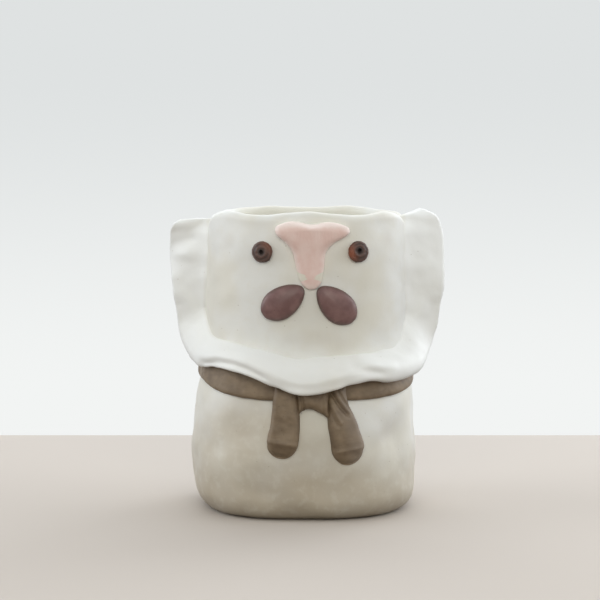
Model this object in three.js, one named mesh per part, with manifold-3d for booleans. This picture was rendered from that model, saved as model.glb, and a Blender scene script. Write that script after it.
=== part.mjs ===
// A small hand-built ceramic planter shaped as an animal: a pinched pot with a face, a frilled ruff
// round the face, and a clay scarf with a knot and two tails. Each piece of clay is one mesh.
// Millimetres, +Z up. The face looks along -Y, and +X is the viewer's right.
import * as THREE from 'three';
import { mergeVertices } from 'three/addons/utils/BufferGeometryUtils.js';
import Module from 'manifold-3d';

const wasm = await Module();
wasm.setup();

// Gap left between two pieces of clay that are joined with slip, and the upright edge of a pressed pad
const SEAT = 0.3;
const BRIM = 0.5;

// Pot: outside radii from the foot up, and how high and how deep the foot is rounded in
const FOOT_RADIUS = 36.6;
const FOOT_ROUND = 5;
const FOOT_TUCK = 3.2;
const BELLY_HEIGHT = 22;
const BELLY_RADIUS = 37.9;
const CHEST_HEIGHT = 39;
const CHEST_RADIUS = 36.4;
const NECK_HEIGHT = 48;
const NECK_RADIUS = 34.5;
const HEAD_RADIUS = 34.5;
const RIM_RADIUS = 33.9;

// Pot: clay and drain hole
const WALL = 4.5;
const FLOOR = 6;
const COIL = 5;
const DRAIN_RADIUS = 5;

// Head: from the neck up to the ruff's chin, from there to the nose's foot, and from its top to the rim
const CHIN_RISE = 6.3;
const JAW = 21.4;
const BROW = 2;

// Hand-made unevenness of the pot
const SQUARENESS = 2.5;
const RIM_WAVE = 0.75;
const RIM_WAVES_ROUND = 7;
const RIM_LEAN = 2.2;
const RIM_LEAN_HEIGHT = 11;
const THUMB_DENT = 0.3;
const DENT_DEPTH = 1.3;
const DENT_RISE = 8;
// Dents: angle from the front, share of the belly's height, shares of depth and rise, and spread in degrees
const DENTS = [
  { angle: 76, up: 1.41, depth: 1, rise: 0.88, spread: 11 },
  { angle: 47, up: 1.23, depth: 0.92, rise: 0.75, spread: 8 },
  { angle: 30, up: 0.64, depth: 0.46, rise: 0.75, spread: 11 },
  { angle: 8, up: 0.45, depth: 0.38, rise: 0.63, spread: 10 },
  { angle: -21, up: 0.45, depth: 0.46, rise: 0.63, spread: 9 },
  { angle: -30, up: 1.36, depth: 0.38, rise: 0.88, spread: 10 },
  { angle: -46, up: 0.36, depth: 0.54, rise: 0.63, spread: 9 },
  { angle: -50, up: 1.18, depth: 0.62, rise: 1, spread: 11 },
];
const BELLY_SWAY = -1;

// Face
const NOSE = { length: 22.3, half: 11.8, aside: 2, thick: 2.5, edge: 2.6, notch: 1.7, notchWidth: 4.5 };
const NOSE_ROUNDS = [2.4, 4];
const EYE = { radius: 3.3, thick: 2.3, pit: 1, pitDepth: 1.2, belowRim: 12.2, left: -14.1, right: 16.3 };
const MUZZLE = { length: 15.5, half: 5.1, thick: 3, innerRound: 7.9, outerRound: 6.6 };
// Inner tip of each muzzle pad from the nose's foot, and the way the pad points
const MUZZLE_TIPS = {
  left: { x: -1.1, rise: 0.5, slope: 215 },
  right: { x: 3.8, rise: 0.5, slope: 315 },
};

// Ruff
const RUFF = { thick: 3.6, fillet: 6, underFillet: 1.5, reach: 10, drop: 10, swing: 8 };
const RUFF_DROOP = 1.5;
// How much fuller than round its edge is, and where and over how many degrees from straight out
const RUFF_BLUNT = { share: 0.3, turn: -50, spread: 35 };
// Its root on the wall, by the angle from the front and the share of the way from chin to rim, the shares of
// reach, drop and swing by which its edge there stands out, sinks and turns forward, and of its fillet, and
// how many times thicker its edge is than its root
const RUFF_STATIONS = [
  { angle: -78, up: 0.95, reach: 1.12, drop: 0.14, swing: -0.35, fillet: 0.6, swell: 1 },
  { angle: -78, up: 0.9, reach: 1.21, drop: 0.18, swing: -0.45, fillet: 0.8, swell: 1 },
  { angle: -78, up: 0.83, reach: 1.15, drop: 0.17, swing: -0.6, fillet: 1, swell: 1 },
  { angle: -78, up: 0.7, reach: 1.1, drop: 0.12, swing: -0.58, fillet: 1, swell: 1 },
  { angle: -78, up: 0.58, reach: 1.08, drop: 0.14, swing: -0.42, fillet: 1, swell: 1 },
  { angle: -78, up: 0.47, reach: 1.03, drop: 0.2, swing: -0.36, fillet: 1, swell: 1 },
  { angle: -77, up: 0.37, reach: 0.92, drop: 0.38, swing: -0.48, fillet: 1, swell: 1 },
  { angle: -76, up: 0.28, reach: 0.76, drop: 0.53, swing: -0.62, fillet: 0.8, swell: 1.1 },
  { angle: -71, up: 0.2, reach: 0.63, drop: 0.6, swing: -0.48, fillet: 0.5, swell: 1.35 },
  { angle: -61, up: 0.105, reach: 0.64, drop: 0.64, swing: -0.15, fillet: 0.3, swell: 1.65 },
  { angle: -45, up: 0.06, reach: 0.64, drop: 0.46, swing: 0, fillet: 0.2, swell: 1.65 },
  { angle: -26, up: 0, reach: 0.84, drop: 0.36, swing: 0, fillet: 0.2, swell: 1.65 },
  { angle: -4, up: -0.05, reach: 1.06, drop: 0.68, swing: 0, fillet: 0.2, swell: 1.65 },
  { angle: 12, up: -0.045, reach: 1.02, drop: 0.57, swing: 0, fillet: 0.2, swell: 1.65 },
  { angle: 27, up: -0.03, reach: 0.8, drop: 0.36, swing: 0, fillet: 0.2, swell: 1.65 },
  { angle: 43, up: -0.018, reach: 0.68, drop: 0.48, swing: 0, fillet: 0.2, swell: 1.65 },
  { angle: 57, up: 0.03, reach: 0.62, drop: 0.55, swing: -0.1, fillet: 0.3, swell: 1.65 },
  { angle: 66, up: 0.14, reach: 0.62, drop: 0.64, swing: -0.42, fillet: 0.5, swell: 1.35 },
  { angle: 71, up: 0.24, reach: 0.74, drop: 0.63, swing: -0.66, fillet: 0.8, swell: 1.1 },
  { angle: 73, up: 0.34, reach: 0.93, drop: 0.55, swing: -0.6, fillet: 1, swell: 1 },
  { angle: 75, up: 0.46, reach: 1.11, drop: 0.4, swing: -0.35, fillet: 1, swell: 1 },
  { angle: 76, up: 0.6, reach: 1.18, drop: 0.2, swing: -0.4, fillet: 1, swell: 1 },
  { angle: 77, up: 0.75, reach: 1.18, drop: 0.03, swing: -0.55, fillet: 1, swell: 1 },
  { angle: 77, up: 0.87, reach: 1.12, drop: -0.05, swing: -0.65, fillet: 1, swell: 1 },
  { angle: 77, up: 0.95, reach: 0.95, drop: -0.06, swing: -0.6, fillet: 0.7, swell: 1 },
  { angle: 77, up: 0.991, reach: 0.68, drop: -0.06, swing: -0.5, fillet: 0.5, swell: 1 },
];

// Scarf: the band lies below the neck line at the front, and the knot and tails lie over it
const BAND = { tall: 8.4, thick: 1.8, belowNeck: 4.1, rise: 5.6, tilt: 1.5 };
const KNOT = { x: 1.9, half: 4.2, top: 1.3, tall: 10.2, arch: 2.2, overBand: 1.8 };
const TAIL = { overBand: 2.1, foot: 3, edge: 2.2, pleats: 3, pleatDepth: 0.8, pleatLength: 9 };
const TAIL_LEFT = { length: 22.7, aside: 5.7, half: 4.9, round: 4.4 };
const TAIL_RIGHT = { length: 25, aside: 7.1, half: 5.2, round: 5.2 };
// Shares of the length below the band's middle, of the place out from the knot's side, and of the half width
const TAIL_LEFT_OUTLINE = [
  [-0.05, 0.74, 0.7],
  [0.165, 0.755, 0.8],
  [0.495, 0.79, 0.94],
  [0.76, 0.93, 1],
  [1, 1, 0.95],
];
const TAIL_RIGHT_OUTLINE = [
  [-0.05, 0.465, 0.55],
  [0.15, 0.51, 0.6],
  [0.41, 0.69, 0.84],
  [0.695, 0.945, 1],
  [1, 1, 0.97],
];

// Sampling
const ROUND_STEPS = 60;
const WALL_STEPS = 18;
const FOOT_SHARES = [0, 0.1, 0.4];
const RUFF_STEPS = 75;
const RUFF_SHARES = [0, 0.05, 0.15, 0.3, 0.6, 1];
const RUFF_SEAT_SHARES = [0.25, 0.5, 0.75];
const RUFF_EDGE_TURNS = [54, 18, -18, -54];
const PAD_ROWS = 16;
const PAD_COLUMNS = 8;
const EYE_STEPS = 24;

// Places worked out from the sizes above
const CHIN_HEIGHT = NECK_HEIGHT + CHIN_RISE;
const NOSE_FOOT = CHIN_HEIGHT + JAW;
const NOSE_TOP = NOSE_FOOT + NOSE.length;
const RIM_HEIGHT = NOSE_TOP + BROW;
const EYE_HEIGHT = RIM_HEIGHT - EYE.belowRim;
const BAND_FRONT = NECK_HEIGHT - BAND.belowNeck;
const COIL_BOTTOM = FLOOR + SEAT;
const COIL_TOP = COIL_BOTTOM + COIL;
const FLOOR_EDGE = [0, FLOOR / 2, FLOOR];

const UP = new THREE.Vector3(0, 0, 1);
const { degToRad, radToDeg, lerp, clamp, smoothstep } = THREE.MathUtils;

function evenly(from, to, steps) {
  return Array.from({ length: steps + 1 }, (_, step) => lerp(from, to, step / steps));
}

// A smooth curve through rows of numbers: the first number in a row is the place along the curve
function smoothRows(rows) {
  const places = rows.map((row) => row[0]);
  const values = rows.flatMap((row) => row.slice(1));
  const width = rows[0].length - 1;
  const curve = new THREE.CubicInterpolant(places, values, width, new Float64Array(width));
  return (place) => Array.from(curve.evaluate(clamp(place, places[0], places.at(-1))));
}

const outsideCurve = smoothRows([
  [0, FOOT_RADIUS],
  [BELLY_HEIGHT / 2, lerp(FOOT_RADIUS, BELLY_RADIUS, 0.7)],
  [BELLY_HEIGHT, BELLY_RADIUS],
  [CHEST_HEIGHT, CHEST_RADIUS],
  [NECK_HEIGHT, NECK_RADIUS],
  [(NECK_HEIGHT + RIM_HEIGHT) / 2, HEAD_RADIUS],
  [RIM_HEIGHT, RIM_RADIUS],
]);

// Outside radius of the pot before it is squared and dented, with its foot rounded in
function outsideRadius(height) {
  const above = clamp(height / FOOT_ROUND, 0, 1);
  return outsideCurve(height)[0] - FOOT_TUCK * (1 - Math.sqrt(1 - (1 - above) ** 2));
}

function dentAt(turn, height) {
  const depths = DENTS.map(({ angle, up, depth, rise, spread }) => {
    const across = (turn - angle) / spread;
    const upward = (height - up * BELLY_HEIGHT) / (rise * DENT_RISE);
    return depth * DENT_DEPTH * Math.exp(-(across ** 2) - upward ** 2);
  });
  return depths.reduce((sum, depth) => sum + depth, 0);
}

// How far the wall stands out from its round shape: squared corners, thumb marks, a leaning rim and dents
function pressing(angle, height) {
  const cornerSum = Math.abs(Math.sin(angle)) ** SQUARENESS + Math.abs(Math.cos(angle)) ** SQUARENESS;
  const squared = outsideRadius(height) * (cornerSum ** (-1 / SQUARENESS) - 1);
  const row = height / RIM_HEIGHT;
  const softer = lerp(1, 0.4, smoothstep(row, 0.4, 0.6));
  const thumbs = Math.cos(6 * angle + 2 * Math.sin(11 * row)) * Math.cos(14 * row + Math.sin(2 * angle));
  const leaning = smoothstep(height, RIM_HEIGHT - RIM_LEAN_HEIGHT, RIM_HEIGHT);
  const lean = RIM_LEAN * Math.sin(angle) ** 2 * leaning;
  const turn = radToDeg(Math.atan2(Math.sin(angle), Math.cos(angle)));
  return squared - THUMB_DENT * softer * thumbs - lean - dentAt(turn, height);
}

function sway(height) {
  return BELLY_SWAY * Math.exp(-(((height - BELLY_HEIGHT) / BELLY_HEIGHT) ** 2));
}

function rimWave(angle, height) {
  const frontward = lerp(0.45, 1, (1 + Math.cos(angle)) / 2);
  const waves = RIM_WAVE * frontward * Math.cos(RIM_WAVES_ROUND * angle);
  return waves * smoothstep(height, 0.85 * RIM_HEIGHT, RIM_HEIGHT);
}

// A point at an angle from the front and a radius from the pot's swaying middle line
function aroundPot(angle, height, radius) {
  return new THREE.Vector3(sway(height) + radius * Math.sin(angle), -radius * Math.cos(angle), height);
}

// A point of the pot: angle from the front, height, and how far it lies outside the wall's face
function wallPoint(angle, height, lift) {
  const point = aroundPot(angle, height, outsideRadius(height) + pressing(angle, height) + lift);
  point.z += rimWave(angle, height);
  return point;
}

// The same, for a place on the front of the pot given by its x as seen from the front
function facePoint(x, height, lift) {
  const aside = (x - sway(height)) / outsideRadius(height);
  const forward = (1 - Math.abs(aside) ** SQUARENESS) ** (1 / SQUARENESS);
  return wallPoint(Math.atan2(aside, forward), height, lift);
}

function angleOf(point) {
  return Math.atan2(point.x - sway(point.z), -point.y);
}

// How far a point lies outside the wall's face
function liftOf(point) {
  const radius = Math.hypot(point.x - sway(point.z), point.y);
  return radius - outsideRadius(point.z) - pressing(angleOf(point), point.z);
}

// A point slid in or out until it lies at a given lift from the wall's face
function atLift(point, lift) {
  const angle = angleOf(point);
  return aroundPot(angle, point.z, outsideRadius(point.z) + pressing(angle, point.z) + lift);
}

function welded(geometry) {
  geometry.deleteAttribute('normal');
  geometry.deleteAttribute('uv');
  const merged = mergeVertices(geometry, 1e-4);
  merged.computeVertexNormals();
  return merged;
}

// A closed skin over a row of rings, each the same number of points; open rows get flat ends
function loft(rings, closed) {
  const size = rings[0].length;
  const faces = [];
  const spans = closed ? rings.length : rings.length - 1;
  for (let ring = 0; ring < spans; ring += 1) {
    const here = ring * size;
    const there = ((ring + 1) % rings.length) * size;
    for (let side = 0; side < size; side += 1) {
      const next = (side + 1) % size;
      faces.push(here + side, here + next, there + side);
      faces.push(here + next, there + next, there + side);
    }
  }
  if (!closed) {
    const last = (rings.length - 1) * size;
    for (let side = 1; side < size - 1; side += 1) {
      faces.push(0, side + 1, side);
      faces.push(last, last + side, last + side + 1);
    }
  }
  const geometry = new THREE.BufferGeometry().setFromPoints(rings.flat());
  geometry.setIndex(faces);
  return welded(geometry);
}

// A round piece of the pot, turned from a closed outline of [radius, height] and then pressed into shape.
// Pressing fades towards the middle, so that the drain hole stays round.
function turned(outline) {
  const closedOutline = [...outline, outline[0]].map(([radius, height]) => new THREE.Vector2(radius, height));
  const geometry = new THREE.LatheGeometry(closedOutline, ROUND_STEPS);
  geometry.rotateX(Math.PI / 2);
  const position = geometry.attributes.position;
  const point = new THREE.Vector3();
  for (let index = 0; index < position.count; index += 1) {
    point.fromBufferAttribute(position, index);
    const angle = Math.atan2(point.x, -point.y);
    const radius = Math.hypot(point.x, point.y);
    const share = smoothstep(radius, 2 * DRAIN_RADIUS, FOOT_RADIUS - 2 * WALL);
    const pressed = aroundPot(angle, point.z, radius + share * pressing(angle, point.z));
    position.setXYZ(index, pressed.x, pressed.y, pressed.z + rimWave(angle, point.z));
  }
  return welded(geometry);
}

function solidOf(geometry) {
  const vertProperties = Float32Array.from(geometry.attributes.position.array);
  const triVerts = Uint32Array.from(geometry.index.array);
  return new wasm.Manifold(new wasm.Mesh({ numProp: 3, vertProperties, triVerts }));
}

function cut(geometry, tool) {
  const mesh = solidOf(geometry).subtract(solidOf(tool)).getMesh();
  const result = new THREE.BufferGeometry();
  result.setAttribute('position', new THREE.BufferAttribute(mesh.vertProperties, 3));
  result.setIndex(new THREE.BufferAttribute(mesh.triVerts, 1));
  return welded(result);
}

// Pot

function wallGeometry() {
  const lip = WALL / 2;
  const top = RIM_HEIGHT - lip;
  const foot = FOOT_SHARES.map((share) => share * FOOT_ROUND);
  const outside = [...foot, ...evenly(FOOT_ROUND, top, WALL_STEPS)];
  const inside = [...evenly(top, COIL_TOP, WALL_STEPS / 2), ...FLOOR_EDGE.toReversed()];
  const rounding = [45, 90, 135].map(degToRad);
  return turned([
    ...outside.map((height) => [outsideRadius(height), height]),
    ...rounding.map((turn) => [
      outsideRadius(top) - lip + lip * Math.cos(turn),
      top + lip * Math.sin(turn),
    ]),
    ...inside.map((height) => [outsideRadius(height) - WALL, height]),
  ]);
}

function floorGeometry() {
  const middle = (DRAIN_RADIUS + FOOT_RADIUS) / 2;
  return turned([
    [DRAIN_RADIUS, 0],
    [middle, 0],
    ...FLOOR_EDGE.map((height) => [outsideRadius(height) - WALL - SEAT, height]),
    [middle, FLOOR],
    [DRAIN_RADIUS, FLOOR],
  ]);
}

// The coil in the corner of wall and floor, pressed to a hollow round inside
function coilGeometry() {
  const against = (height) => outsideRadius(height) - WALL - SEAT;
  const hollow = [20, 45, 70].map(degToRad);
  return turned([
    [against(COIL_BOTTOM) - COIL, COIL_BOTTOM],
    [against(COIL_BOTTOM), COIL_BOTTOM],
    [against(COIL_TOP), COIL_TOP],
    ...hollow.map((turn) => [
      against(COIL_TOP) - 0.75 * COIL * Math.sin(turn),
      COIL_TOP - 0.9 * COIL * Math.sin(turn) ** 2,
    ]),
  ]);
}

// Ruff

const ruffAt = smoothRows(
  RUFF_STATIONS.map(({ angle, up, reach, drop, swing, fillet, swell }, index) => {
    const root = [degToRad(angle), lerp(CHIN_HEIGHT, RIM_HEIGHT, up)];
    const edge = [reach * RUFF.reach, drop * RUFF.drop, swing * RUFF.swing];
    return [index, ...root, ...edge, fillet * RUFF.fillet, swell];
  }),
);
const RUFF_LAST = RUFF_STATIONS.length - 1;

function ruffRoot(place) {
  const [angle, height] = ruffAt(place);
  return aroundPot(angle, height, outsideRadius(height) + pressing(angle, height) + SEAT);
}

// How far a round fillet still reaches along the wall at a distance out from it
function hollowFillet(distance, radius) {
  const inside = clamp(1 - distance / radius, 0, 1);
  return radius * (1 - Math.sqrt(1 - inside ** 2));
}

// One section of the ruff: it leaves the wall in a hollow, then bends down and forward to a round edge
function ruffRing(place) {
  const [angle, , reach, drop, swing, fillet, swell] = ruffAt(place);
  const step = 0.05;
  const before = ruffRoot(Math.max(place - step, 0));
  const along = ruffRoot(Math.min(place + step, RUFF_LAST)).sub(before).normalize();
  const outward = new THREE.Vector3(Math.sin(angle), -Math.cos(angle), 0);
  const front = new THREE.Vector3().crossVectors(outward, along).normalize();
  const fromEnd = Math.min(place, RUFF_LAST - place);
  const half = (RUFF.thick / 2) * lerp(0.4, 1, Math.sqrt(Math.min(1, 2 * fromEnd)));
  const edgeHalf = swell * half;
  const length = reach - edgeHalf;
  const middle = (share) => ruffRoot(place)
    .addScaledVector(outward, length * share)
    .addScaledVector(UP, -drop * share ** RUFF_DROOP)
    .addScaledVector(front, swing * share ** 2);
  const run = (share) => middle(share + step).sub(middle(share)).normalize();
  const facing = (share) => new THREE.Vector3().crossVectors(run(share), along).normalize();
  const face = (share, radius, way) => {
    const thick = lerp(half, edgeHalf, share) + hollowFillet(length * share, radius);
    return middle(share).addScaledVector(facing(share), way * thick);
  };
  const edge = RUFF_EDGE_TURNS.map(degToRad).map((turn) => {
    const spoke = facing(1).multiplyScalar(Math.sin(turn)).addScaledVector(run(1), Math.cos(turn));
    const tilt = radToDeg(Math.atan2(spoke.dot(UP), spoke.dot(outward)));
    const fuller = RUFF_BLUNT.share * Math.exp(-(((tilt - RUFF_BLUNT.turn) / RUFF_BLUNT.spread) ** 2));
    return middle(1).addScaledVector(spoke, edgeHalf * (1 + fuller));
  });
  const upper = RUFF_SHARES.map((share) => face(share, fillet, 1));
  const lower = RUFF_SHARES.map((share) => face(share, RUFF.underFillet, -1));
  const seat = RUFF_SEAT_SHARES.map((share) => lower[0].clone().lerp(upper[0], share));
  const ring = [...upper, ...edge, ...lower.toReversed(), ...seat];
  const shares = [...RUFF_SHARES, ...edge.map(() => 1), ...RUFF_SHARES.toReversed(), ...seat.map(() => 0)];
  return ring.map((point, index) => {
    const distance = length * shares[index];
    const free = smoothstep(distance, 0, 0.6 * reach);
    return atLift(point, Math.max(SEAT, lerp(distance + SEAT, liftOf(point), free)));
  });
}

// Its edge hangs over the scarf, and is hollowed where the band runs under it
function ruffGeometry() {
  return cut(loft(evenly(0, RUFF_LAST, RUFF_STEPS).map(ruffRing), false), bandCutter());
}

// Scarf

// The band climbs from the front to the sides, and runs level round the back
function bandHeight(angle) {
  const climb = Math.cos(angle) > 0 ? Math.sin(angle) ** 4 : 1;
  return BAND_FRONT + BAND.rise * climb - BAND.tilt * Math.sin(angle) ** 3;
}

// One section of the band, grown outward by a clearance when it is used as a cutter
function bandRing(angle, grown) {
  const half = BAND.tall / 2 + grown;
  const face = SEAT + BAND.thick + grown;
  const back = SEAT - 2 * grown;
  const section = [
    [half, back],
    [half, 0.55 * face],
    [0.7 * half, face],
    [0, face],
    [-0.7 * half, face],
    [-half, 0.55 * face],
    [-half, back],
  ];
  return section.map(([rise, lift]) => wallPoint(angle, bandHeight(angle) + rise, lift));
}

// The band's two ends meet under the knot
const knotAngle = KNOT.x / NECK_RADIUS;

function bandGeometry() {
  const halfGap = SEAT / NECK_RADIUS;
  const turns = evenly(knotAngle + halfGap, knotAngle + 2 * Math.PI - halfGap, ROUND_STEPS);
  return loft(turns.map((turn) => bandRing(turn, 0)), false);
}

function bandCutter() {
  const turns = evenly(knotAngle, knotAngle + 2 * Math.PI, ROUND_STEPS).slice(0, -1);
  return loft(turns.map((turn) => bandRing(turn, SEAT)), true);
}

// Pads of clay pressed on the front of the pot

// Share of its width that a pad keeps at a distance from a round end
function roundEnd(distance, radius) {
  const inside = radius > 0 ? Math.max(0, 1 - distance / radius) : 0;
  return Math.max(0.04, Math.sqrt(1 - inside ** 2));
}

// rows: [along, aside, half width, thickness]. place turns along, aside and lift into a point.
// rounds are the lengths over which the two ends are rounded, and crease gives the depth of a fold at a
// place along the pad and a share of its half width.
function padGeometry(rows, edge, place, rounds = [0, 0], crease = () => 0) {
  const shape = smoothRows(rows);
  const start = rows[0][0];
  const finish = rows.at(-1)[0];
  const columns = evenly(Math.PI / 2, -Math.PI / 2, PAD_COLUMNS).map(Math.sin);
  const ring = (along) => {
    const [aside, fullHalf, thick] = shape(along);
    const half = fullHalf * roundEnd(along - start, rounds[0]) * roundEnd(finish - along, rounds[1]);
    const fromEnd = Math.min(along - start, finish - along);
    const front = columns.map((column) => {
      const fromSide = half * (1 - Math.abs(column));
      const fromEdge = 1 / Math.hypot(1 / fromSide, 1 / fromEnd);
      const slope = 1 - Math.min(1, fromEdge / edge);
      const rise = (thick - BRIM) * Math.sqrt(1 - slope ** 2);
      return place(along, aside + column * half, SEAT + BRIM + rise - crease(along - start, column));
    });
    const back = columns.map((column) => place(along, aside + column * half, SEAT));
    return [...front, ...back.toReversed()];
  };
  const turns = evenly(0, Math.PI, PAD_ROWS);
  return loft(turns.map((turn) => ring(lerp(start, finish, (1 - Math.cos(turn)) / 2))), false);
}

// The nose: shares of its length, of the offset of its middle line, of its half width and of its thickness
function noseGeometry() {
  const outline = [
    [0, 0.7, 1, 1],
    [0.1, 0.9, 0.99, 1],
    [0.15, 1.1, 1.01, 1],
    [0.21, 0.9, 0.9, 0.95],
    [0.27, 0.6, 0.69, 0.9],
    [0.33, 0.45, 0.555, 0.85],
    [0.45, 0.4, 0.435, 0.75],
    [0.66, 0.5, 0.385, 0.7],
    [0.81, 0.6, 0.33, 0.65],
    [1, 0.7, 0.29, 0.6],
  ];
  const rows = outline.map(([along, aside, half, thick]) => {
    return [along * NOSE.length, aside * NOSE.aside, half * NOSE.half, thick * NOSE.thick];
  });
  const notch = (along, aside) => {
    const across = (aside - rows[0][1]) / NOSE.notchWidth;
    return NOSE.notch * Math.exp(-(across ** 2)) * (1 - smoothstep(along, 0, NOSE.notchWidth));
  };
  const place = (along, aside, lift) => facePoint(aside, NOSE_TOP - along - notch(along, aside), lift);
  return padGeometry(rows, NOSE.edge, place, NOSE_ROUNDS);
}

// A muzzle pad: an egg whose narrow end lies by the nose's foot
function muzzleGeometry({ x, rise, slope }) {
  const { length, half, thick, innerRound, outerRound } = MUZZLE;
  const egg = [[0, 0.78], [0.25, 0.9], [0.55, 1], [0.8, 1], [1, 0.95]];
  const cos = Math.cos(degToRad(slope));
  const sin = Math.sin(degToRad(slope));
  const tip = NOSE_FOOT + rise;
  const rows = egg.map(([along, width]) => [along * length, 0, width * half, thick]);
  const place = (along, aside, lift) => {
    return facePoint(x + along * cos - aside * sin, tip + along * sin + aside * cos, lift);
  };
  return padGeometry(rows, half, place, [innerRound, outerRound]);
}

function tailGeometry(outline, { length, aside, half, round }, outward, crease) {
  const rows = outline.map(([along, out, width]) => {
    const thick = lerp(BAND.thick + SEAT + TAIL.overBand, TAIL.foot, Math.max(0, along));
    return [along * length, KNOT.x + outward * (KNOT.half + out * aside), width * half, thick];
  });
  const place = (below, x, lift) => facePoint(x, BAND_FRONT - below, lift);
  return cut(padGeometry(rows, TAIL.edge, place, [0, round], crease), bandCutter());
}

// The right tail is gathered in pleats under the knot
function pleat(along, column) {
  const fade = Math.exp(-((along / TAIL.pleatLength) ** 2));
  const across = column + 1 - along / TAIL.pleatLength;
  return TAIL.pleatDepth * fade * Math.sin((TAIL.pleats * Math.PI * across) / 2) ** 2;
}

// The knot: a strip over the band from tail to tail, arched along its lower edge
function knotGeometry() {
  const thick = BAND.thick + SEAT + KNOT.overBand;
  const top = BAND_FRONT + KNOT.top;
  const rows = [-1, -0.5, 0, 0.5, 1].map((share) => {
    const tall = KNOT.tall - KNOT.arch * (1 - share ** 2);
    return [share * (KNOT.half - SEAT), top - tall / 2, tall / 2, thick];
  });
  const place = (along, height, lift) => facePoint(KNOT.x + along, height, lift);
  return cut(padGeometry(rows, 0.3 * KNOT.tall, place), bandCutter());
}

// An eye: a flattened ball, pierced at its centre
function eyeGeometry() {
  const { radius, thick, pit, pitDepth } = EYE;
  const outline = [
    [0, 0],
    [0.8 * radius, 0],
    [0.97 * radius, 0.25 * thick],
    [radius, 0.45 * thick],
    [0.88 * radius, 0.75 * thick],
    [0.62 * radius, 0.94 * thick],
    [1.25 * pit, thick],
    [pit, thick - pitDepth / 5],
    [0.8 * pit, thick - pitDepth],
    [0, thick - pitDepth],
  ];
  const profile = outline.map(([across, out]) => new THREE.Vector2(across, out));
  const geometry = new THREE.LatheGeometry(profile, EYE_STEPS);
  geometry.rotateX(Math.PI / 2);
  return welded(geometry);
}

// An eye sits square on the wall
function placeEye(mesh, x) {
  const reach = EYE.radius;
  const sideways = facePoint(x + reach, EYE_HEIGHT, SEAT).sub(facePoint(x - reach, EYE_HEIGHT, SEAT));
  const upward = facePoint(x, EYE_HEIGHT + reach, SEAT).sub(facePoint(x, EYE_HEIGHT - reach, SEAT));
  mesh.position.copy(facePoint(x, EYE_HEIGHT, SEAT));
  mesh.quaternion.setFromUnitVectors(UP, sideways.cross(upward).normalize());
}

// Assembly

const GLAZE = {
  white: { color: '#e9e6da', roughness: 0.35 },
  pink: { color: '#e0b3a6', roughness: 0.4 },
  mauve: { color: '#6d4a48', roughness: 0.4 },
  brown: { color: '#4a2f22', roughness: 0.3 },
  taupe: { color: '#72614d', roughness: 0.5 },
};

const planter = new THREE.Group();

function addPiece(name, geometry, colour) {
  const mesh = new THREE.Mesh(geometry, new THREE.MeshStandardMaterial({ ...GLAZE[colour], metalness: 0 }));
  mesh.name = name;
  planter.add(mesh);
  return mesh;
}

addPiece('pot_wall', wallGeometry(), 'white');
addPiece('pot_floor', floorGeometry(), 'white');
addPiece('inside_seam_coil', coilGeometry(), 'white');
addPiece('ruff', ruffGeometry(), 'white');
addPiece('scarf_band', bandGeometry(), 'taupe');
addPiece('scarf_knot', knotGeometry(), 'taupe');
addPiece('nose', noseGeometry(), 'pink');
addPiece('scarf_tail_left', tailGeometry(TAIL_LEFT_OUTLINE, TAIL_LEFT, -1), 'taupe');
addPiece('scarf_tail_right', tailGeometry(TAIL_RIGHT_OUTLINE, TAIL_RIGHT, 1, pleat), 'taupe');
for (const side of ['left', 'right']) {
  addPiece(`muzzle_pad_${side}`, muzzleGeometry(MUZZLE_TIPS[side]), 'mauve');
  placeEye(addPiece(`eye_${side}`, eyeGeometry(), 'brown'), EYE[side]);
}

// The origin is on the table, under the middle of the planter's outline
planter.updateMatrixWorld(true);
const outline = new THREE.Box3().setFromObject(planter, true);
const middle = outline.getCenter(new THREE.Vector3());
planter.position.set(-middle.x, -middle.y, -outline.min.z);

export default planter;
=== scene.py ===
"""Looks of a small hand-built ceramic planter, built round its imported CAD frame.

Shapes are worked out in millimetres about the pot's own axis, with the face looking along -Y, and are moved
into the frame, in metres, when a mesh is made. Angles run from the front, positive to the viewer's right.
"""

import math

import bpy
import numpy as np
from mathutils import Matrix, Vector, noise


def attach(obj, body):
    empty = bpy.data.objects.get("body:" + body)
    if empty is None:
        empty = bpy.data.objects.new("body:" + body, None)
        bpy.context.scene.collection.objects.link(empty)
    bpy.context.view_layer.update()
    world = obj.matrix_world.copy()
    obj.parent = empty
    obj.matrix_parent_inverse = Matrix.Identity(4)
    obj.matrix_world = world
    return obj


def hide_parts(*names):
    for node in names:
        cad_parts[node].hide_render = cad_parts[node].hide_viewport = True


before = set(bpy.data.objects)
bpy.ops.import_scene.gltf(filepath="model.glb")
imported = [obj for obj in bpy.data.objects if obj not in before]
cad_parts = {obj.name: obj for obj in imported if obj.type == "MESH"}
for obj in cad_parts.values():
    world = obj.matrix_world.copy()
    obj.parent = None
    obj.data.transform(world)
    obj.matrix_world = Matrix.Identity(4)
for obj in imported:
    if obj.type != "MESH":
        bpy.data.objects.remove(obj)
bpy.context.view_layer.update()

MM = 0.001
# Where the pot's axis stands in the frame, from the CAD source's centring
AXIS = np.array([-0.2391, 3.6263, 0.0])

# How deep a piece sinks into what carries it, as clay joined with slip does, and how thick a pad's edge is
SINK = 0.25
BRIM = 0.5

# Pot
FOOT_RADIUS = 36.6
FOOT_ROUND = 8
FOOT_TUCK = 6
BELLY_HEIGHT = 22
BELLY_RADIUS = 37.87
# Share of the way from the foot's radius to the belly's at half the belly's height
LOW_BELLY = 0.7
CHEST_HEIGHT = 39
CHEST_RADIUS = 36.4
NECK_HEIGHT = 48
NECK_RADIUS = 34.5
HEAD_RADIUS = 34.5
RIM_RADIUS = 33.9
WALL = 4.5
FLOOR = 6
COIL = 5
# Share of the coil that its hollow takes away, and the turn of the hollow in degrees
COIL_HOLLOW = 0.95
COIL_TURN = (5, 88)
DRAIN_RADIUS = 5
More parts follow.
